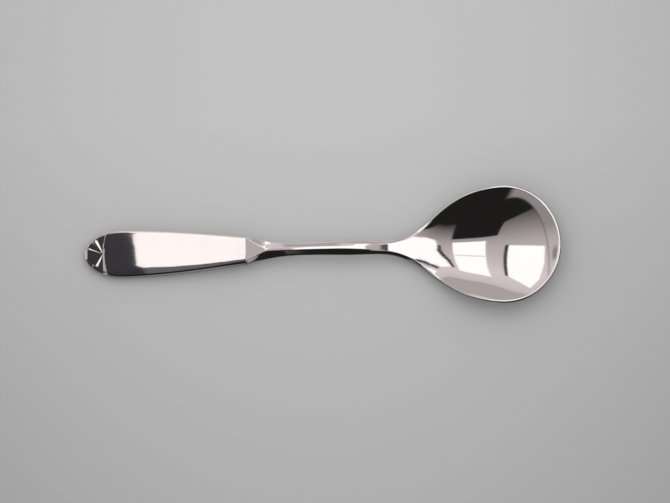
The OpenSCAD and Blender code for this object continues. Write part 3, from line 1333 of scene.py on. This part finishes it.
@dataclass(frozen=True)
class Panel:
    """Level panel over the table, which glows or is dark, and which the camera doesn't see."""

    name: str
    left: tuple[Plan, ...]
    right: tuple[Plan, ...]
    height: float
    unit: float
    glow: Colour
    sight: Sight

    def build(self) -> None:
        """Hangs the panel."""
        mesh = bmesh.new()
        count = len(self.left) - 1
        bmesh.ops.create_grid(mesh, x_segments=1, y_segments=count, size=0.5)
        for vertex in mesh.verts:
            side = self.left if vertex.co.x < 0 else self.right
            x, y = side[round((vertex.co.y + 0.5) * count)]
            vertex.co = (x * self.unit, y * self.unit, self.height)
        material = bpy.data.materials.new(self.name)
        material.use_nodes = True
        board = Board(material.node_tree)
        glow = board.node("ShaderNodeEmission", None, {"Color": (*self.glow, 1.0), "Strength": 1.0})
        board.node("ShaderNodeOutputMaterial", None, {"Surface": glow.outputs[0]})
        panel = add_object(self.name, mesh, material)
        panel.visible_camera = False
        panel.visible_shadow = False
        panel.visible_diffuse = self.sight is Sight.MIRROR_AND_FLOOR
        panel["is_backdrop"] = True


# Left and right edges of the far panels, by the slopes of the line of sight along and across the spoon.
WINDOWS: dict[str, Sides] = {
    "panel_middle": (
        ((-0.148, 0.02), (-0.148, 0.4), (-0.125, 1.14)),
        ((0.2, 0.02), (0.2, 0.4), (0.212, 1.03)),
    ),
    "panel_left": (
        ((-0.76, 0.25), (-0.77, 0.6), (-0.715, 1.0), (-0.575, 1.31)),
        ((-0.36, 0.16), (-0.327, 0.6), (-0.315, 0.8), (-0.3, 0.965)),
    ),
    "panel_right": (
        ((0.32, -0.035), (0.334, 0.25), (0.278, 0.6), (0.274, 0.87)),
        ((1.0, -0.035), (1.3, 0.4), (1.8, 1.2), (2.4, 2.8)),
    ),
}
BAR: Sides = (
    ((-0.148, 0.4), (-0.148, 0.42)),
    ((0.195, 0.385), (0.195, 0.405)),
)
# Left and right edges of the cards over the handle, in millimetres along and across the spoon.
END_CARD: Sides = (
    (
        (-250, -200), (-250, -20), (-115, -14), (-115, -4), (-115, 3),
        (-115, 22), (-190, 32), (-190, 58), (-190, 63), (-190, 200),
    ),
    (
        (-57, -200), (-60, -20), (-60.5, -14), (-62, -4), (-66.5, 3),
        (-69.2, 22), (-68.5, 32), (-64, 58), (-88, 63), (-90, 200),
    ),
)
FACE_CARD: Sides = (
    ((-75, -2.5), (-75, 80)),
    ((-31, -10.5), (-31, 80)),
)
FRONT_CARD: Sides = (
    ((-85, -200), (-85, 0)),
    ((-31, -200), (-31, 0)),
)


@dataclass(frozen=True)
class Room:
    """Walls that the metal mirrors, by the slopes of a line of sight along and across the spoon."""

    wall: tuple[tuple[float, float], ...] = (
        (-0.52, 0.015), (0.1, 0.485), (0.9, 0.745), (1.55, 0.65), (1.65, 0.455),
    )
    tint: Colour = (1.0, 0.89, 0.885)
    least_up: float = 0.02
    horizon: Span = (0.955, 0.98)
    ring_size: Span = (0.615, 0.81)
    ring_middle: float = 0.17
    ring_end: Span = (-0.2, -0.09)
    ring_line: float = 0.02
    ring_shade: float = 0.35
    beyond: float = 0.31
    beyond_up: Span = (0.45, 0.6)
    right_wall: Span = (0.6, 0.85)
    right_shade: float = 0.85
    dark_top: float = -0.07
    dark_side: float = 0.21
    dark_step: Span = (-0.27, -0.24)
    dark_drop: float = 0.245
    dark_slope: float = 0.4
    dark_level: float = 0.014
    frame_left: Span = (-0.372, -0.337)
    frame_left_height: Span = (0.15, 0.96)
    frame_lean: float = 0.075
    frame_right: Span = (0.302, 0.334)
    frame_right_height: Span = (0.1, 0.9)
    frame_bend: float = 0.16
    frame_bend_start: float = 0.25
    frame_bend_length: float = 0.35
    frame_blur: float = 0.003
    frame_end_blur: float = 0.01
    frame_shade: float = 0.96
    spot_along: Band = (-0.94, -0.88, 0.02)
    spot_across: Band = (0.3, 0.54, 0.08)
    spot_share: float = 0.6
    corner_level: float = 0.42
    corner_out: Span = (0.2, 0.36)
    corner_up: Span = (0.4, 0.6)
    corner_across: Span = (-0.2, 0.0)
    blur: float = 0.012
    ambient: Colour = (0.79, 0.795, 0.8)

    def wall_level(self, board: Board, across: Shade) -> Shade:
        """Level of the walls, which brighten upwards.

        Args:
            board: Node tree.
            across: Slope across the spoon.

        Returns:
            The level.
        """
        low, high = self.wall[0][0], self.wall[-1][0]
        stops = [((place - low) / (high - low), level) for place, level in self.wall]
        share = (across - low) / (high - low)
        return board.shade("ShaderNodeValToRGB", 0, {"stops": stops}, {0: share})

    def dark_zone(self, along: Shade, across: Shade) -> Shade:
        """Mask of the dark side behind the camera.

        Args:
            along: Slope along the spoon.
            across: Slope across the spoon.

        Returns:
            The mask.
        """
        step = 1 - along.rises(*self.dark_step)
        slope = self.dark_slope * (along - self.dark_step[0]).at_most(0.0)
        top = self.dark_top - self.dark_drop * step + slope
        side = 1 - along.rises(self.dark_side - self.blur, self.dark_side + self.blur)
        return side * (1 - (across - top).rises(-self.blur, self.blur))

    def frames(self, along: Shade, across: Shade) -> Shade:
        """Mask of the dark frames beside the side panels.

        Args:
            along: Slope along the spoon.
            across: Slope across the spoon.

        Returns:
            The mask.
        """
        leaning = along - self.frame_lean * across
        left = leaning.between(*self.frame_left, self.frame_blur)
        left = left * across.between(*self.frame_left_height, self.frame_end_blur)
        past_bend = (across - self.frame_bend_start).at_least(0.0).at_most(self.frame_bend_length)
        bent = along + self.frame_bend * past_bend
        right = bent.between(*self.frame_right, self.frame_blur)
        right = right * across.between(*self.frame_right_height, self.frame_end_blur)
        spot = along.between(*self.spot_along) * across.between(*self.spot_across)
        return left.at_least(right).at_least(self.spot_share * spot)

    def build(self, seen_colour: Colour) -> None:
        """Fills the world.

        Args:
            seen_colour: Colour that the camera sees beyond the floor.
        """
        world = bpy.data.worlds.new("surroundings")
        bpy.context.scene.world = world
        world.use_nodes = True
        board = Board(world.node_tree)
        direction = board.shade("ShaderNodeTexCoord", "Generated")
        parts = board.node("ShaderNodeSeparateXYZ", None, {0: direction})
        x, y, z = (Shade(board, socket) for socket in parts.outputs)
        up = z.at_least(self.least_up)
        along, across = x / up, y / up
        wall = self.wall_level(board, across).toward(1.0, y.rises(*self.horizon))
        off = y - self.ring_middle
        ring = x * x / self.ring_size[0] ** 2 + off * off / self.ring_size[1] ** 2
        side = 1 - x.rises(*self.ring_end)
        past = ring.rises(1 - self.blur, 1 + self.blur) * side
        line = ring.between(1 - self.ring_line, 1 + self.ring_line, self.blur) * side
        rim = wall.at_least(self.beyond * z.rises(*self.beyond_up))
        grey = wall.toward(self.dark_level, self.dark_zone(along, across)).toward(rim, past)
        grey = grey * (1 - self.ring_shade * line)
        grey = grey * (1 - self.frame_shade * self.frames(along, across))
        grey = grey * (1 - self.right_shade * x.rises(*self.right_wall))
        corner = (x * x).rises(*self.corner_out) * (1 - z.rises(*self.corner_up))
        corner = corner * (1 - y.rises(*self.corner_across))
        grey = grey.toward(self.corner_level, corner)
        colour = board.blend(1.0, grey, self.tint, Blend.MULTIPLY)
        lit = board.shade("ShaderNodeLightPath", "Is Diffuse Ray")
        colour = board.blend(lit, colour, self.ambient)
        seen = board.shade("ShaderNodeLightPath", "Is Camera Ray")
        colour = board.blend(seen, colour, seen_colour)
        background = board.node("ShaderNodeBackground", None, {"Color": colour, "Strength": 1.0})
        board.node("ShaderNodeOutputWorld", None, {"Surface": background.outputs[0]})


@dataclass(frozen=True)
class Studio:
    """Pale floor, panels, soft light and the camera."""

    image_width: float = 670.0
    image_height: float = 503.0
    elevation: float = math.radians(80.1)
    roll: float = math.radians(1.09)
    distance: float = 2400.0
    scale: float = 3.405
    aim: tuple[float, float, float] = (0.0, 0.0, 5.0)
    aim_pixel: tuple[float, float] = (322.4, 248.5)
    sensor: float = 36.0
    sight_end: float = 100.0
    box_height: float = 20.0
    bar_height: float = 19.5
    bar_glow: Colour = (0.5, 0.47, 0.47)
    box_glow: Colour = (1.2, 1.17, 1.16)
    card_height: float = 0.09
    face_glow: Colour = (1.14, 1.085, 1.075)
    dark_glow: Colour = (0.035, 0.034, 0.042)
    dim_glow: Colour = (0.135, 0.126, 0.15)
    key_size: float = 4.0
    key_place: tuple[float, float, float] = (0.0, 0.8, 3.2)
    key_radiance: float = 0.66
    floor_size: float = 12.0
    floor_gap: float = 0.02
    view_width: float = 197.0
    # Painted shade: the floor's colour darkens towards its sides and front, down to a least share.
    painted_shade_side: float = 0.5
    painted_shade_front: float = 0.36
    painted_shade_least: float = 0.67
    # Painted shadow: in the metal's reflections the floor's colour is darker by these shares, by the
    # handle and beyond it, except on the lit side.
    mirrored_painted_shadow: float = 0.8
    mirrored_painted_shadow_by_handle: float = 0.5
    painted_shade_start: float = 0.2
    lit_across: Span = (-0.03, 0.03)
    lit_along: Span = (0.28, 0.34)
    handle_along: Span = (-0.14, -0.08)
    floor_roughness: float = 0.9
    floor_colour: Colour = (0.505, 0.505, 0.505)

    def build_floor(self) -> None:
        """Lays the floor just under the spoon, with painted shade towards its sides and front and a
        painted shadow that only the metal's reflections show.
        """
        mesh = bmesh.new()
        bmesh.ops.create_grid(mesh, x_segments=1, y_segments=1, size=self.floor_size / 2)
        bmesh.ops.translate(mesh, verts=mesh.verts, vec=(0.0, 0.0, -self.floor_gap * MM))
        material = bpy.data.materials.new("floor_paper")
        material.use_nodes = True
        board = Board(material.node_tree)
        place = board.shade("ShaderNodeTexCoord", "Object")
        parts = board.node("ShaderNodeSeparateXYZ", None, {0: place})
        x, y = (Shade(board, socket) / (self.view_width * MM) for socket in parts.outputs[:2])
        # Painted shade: the floor's colour is darker towards its sides and front.
        nearer = (self.painted_shade_start - y).at_least(0.0)
        fade = 1.0 - self.painted_shade_side * x * x - self.painted_shade_front * nearer
        fade = fade.at_least(self.painted_shade_least)
        # Painted shadow: glossy rays see the floor darker away from its lit side.
        mirrored = board.shade("ShaderNodeLightPath", "Is Glossy Ray")
        lit_side = y.rises(*self.lit_across) * (1 - x.rises(*self.lit_along))
        past_handle = x.rises(*self.handle_along)
        dim = self.mirrored_painted_shadow_by_handle + (self.mirrored_painted_shadow - self.mirrored_painted_shadow_by_handle) * past_handle
        fade = fade * (1.0 - dim * mirrored * (1 - lit_side))
        paper = board.shade("ShaderNodeBsdfPrincipled", 0, None, {
            "Base Color": board.blend(1.0, self.floor_colour, fade, Blend.MULTIPLY),
            "Roughness": self.floor_roughness,
            "Specular IOR Level": 0.0,
        })
        clear = board.shade("ShaderNodeBsdfTransparent", 0)
        below = board.shade("ShaderNodeNewGeometry", "Backfacing")
        surface = board.shade("ShaderNodeMixShader", 0, None, {0: below, 1: paper, 2: clear})
        board.node("ShaderNodeOutputMaterial", None, {"Surface": surface})
        add_object("floor", mesh, material)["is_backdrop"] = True

    def build_panels(self) -> None:
        """Hangs the bright panels, the bar across one of them and three cards close over the handle."""
        height = self.box_height
        for name, sides in WINDOWS.items():
            Panel(name, *sides, height, height, self.box_glow, Sight.MIRROR_AND_FLOOR).build()
        Panel("panel_bar", *BAR, self.bar_height, self.bar_height, self.bar_glow, Sight.MIRROR).build()
        cards = (
            ("card_end", END_CARD, self.dark_glow),
            ("card_face", FACE_CARD, self.face_glow),
            ("card_front", FRONT_CARD, self.dim_glow),
        )
        for i, (name, sides, glow) in enumerate(cards):
            Panel(name, *sides, self.card_height + i * MM, MM, glow, Sight.MIRROR).build()

    def build_key(self) -> None:
        """Hangs the broad soft light that the floor shows and the metal doesn't."""
        data = bpy.data.lights.new("key", "AREA")
        data.shape = "SQUARE"
        data.size = self.key_size
        data.energy = self.key_radiance * math.pi * self.key_size ** 2
        light = bpy.data.objects.new("key", data)
        light.location = self.key_place
        light.visible_camera = False
        light.visible_glossy = False
        bpy.context.scene.collection.objects.link(light)

    def build_camera(self) -> None:
        """Sets the camera at the photograph's viewing angle."""
        toward = Vector((0.0, -math.cos(self.elevation), math.sin(self.elevation)))
        level_right = Vector((1.0, 0.0, 0.0))
        level_up = toward.cross(level_right)
        right = level_right * math.cos(self.roll) - level_up * math.sin(self.roll)
        up = level_right * math.sin(self.roll) + level_up * math.cos(self.roll)
        off_right = (self.image_width / 2 - self.aim_pixel[0]) / self.scale
        off_up = (self.aim_pixel[1] - self.image_height / 2) / self.scale
        centre = Vector(self.aim) + right * off_right + up * off_up
        data = bpy.data.cameras.new("camera")
        data.sensor_width = self.sensor
        data.lens = self.scale * self.distance * self.sensor / self.image_width
        data.clip_end = self.sight_end
        camera = bpy.data.objects.new("camera", data)
        axes = Matrix((right, up, toward)).transposed().to_4x4()
        camera.matrix_world = Matrix.Translation((centre + toward * self.distance) * MM) @ axes
        bpy.context.scene.collection.objects.link(camera)
        bpy.context.scene.camera = camera

    def build(self) -> None:
        """Builds the whole set."""
        self.build_floor()
        Room().build(self.floor_colour)
        self.build_panels()
        self.build_key()
        self.build_camera()
        bpy.context.scene.view_settings.view_transform = "Standard"


def dress_node(node: str, material: bpy.types.Material) -> None:
    """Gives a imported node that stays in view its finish.

    Args:
        node: Name of the node.
        material: Its finish.
    """
    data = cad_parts[node].data
    data.materials.clear()
    data.materials.append(material)
    LOG.info("%s: %s", node, material.name)


def main() -> None:
    """Builds the spoon and its set."""
    logging.basicConfig(level=logging.INFO, format="%(name)s %(message)s")
    lengths = Lengths.from_frame()
    handle = Handle(lengths)
    silver = SILVER.material()
    handle.build_shell(Side.FRONT, silver, "handle_front_shell")
    handle.build_shell(Side.BACK, silver, "handle_back_shell")
    ForgedPiece(lengths, handle).build(STEEL.material())
    solder = SOLDER.material()
    dress_node("rim_solder", solder)
    dress_node("mouth_solder", solder)
    dress_node("handle_filler", CEMENT.material())
    Studio().build()
    boxes = {"cad": CAD_BOX, "visual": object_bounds()}
    {name: [list(corner) for corner in box] for name, box in boxes.items()}


if __name__ == "__main__":
    main()
